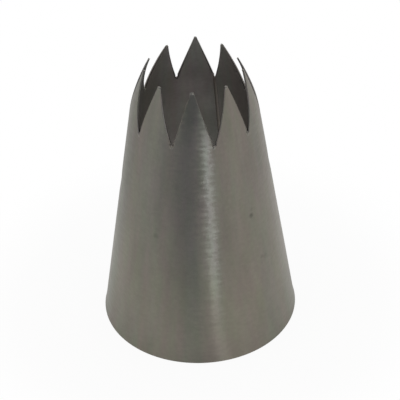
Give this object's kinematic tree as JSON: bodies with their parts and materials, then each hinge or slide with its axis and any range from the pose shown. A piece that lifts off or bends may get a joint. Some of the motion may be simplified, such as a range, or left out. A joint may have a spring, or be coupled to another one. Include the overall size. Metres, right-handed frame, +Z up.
{
  "type": "piping nozzle",
  "caption": "Large open-star piping nozzle: a welded cone of thin stainless sheet with a crown of inward-bent teeth.",
  "frame": {"origin": "centre of the wide rim, on the surface that the nozzle stands on", "axes": "+Z up the axis to the tips of the teeth, +Y through the weld run"},
  "size_m": [0.035, 0.035, 0.0519],
  "materials": {
    "satin_steel": "dull satin stainless steel, drawn round the cone, with fine scratches",
    "weld_steel": "ground weld run, slightly duller than the sheet"
  },
  "bodies": {
    "root": {"cone_shell": "satin_steel", "seam_weld": "weld_steel"}
  },
  "joints": []
}
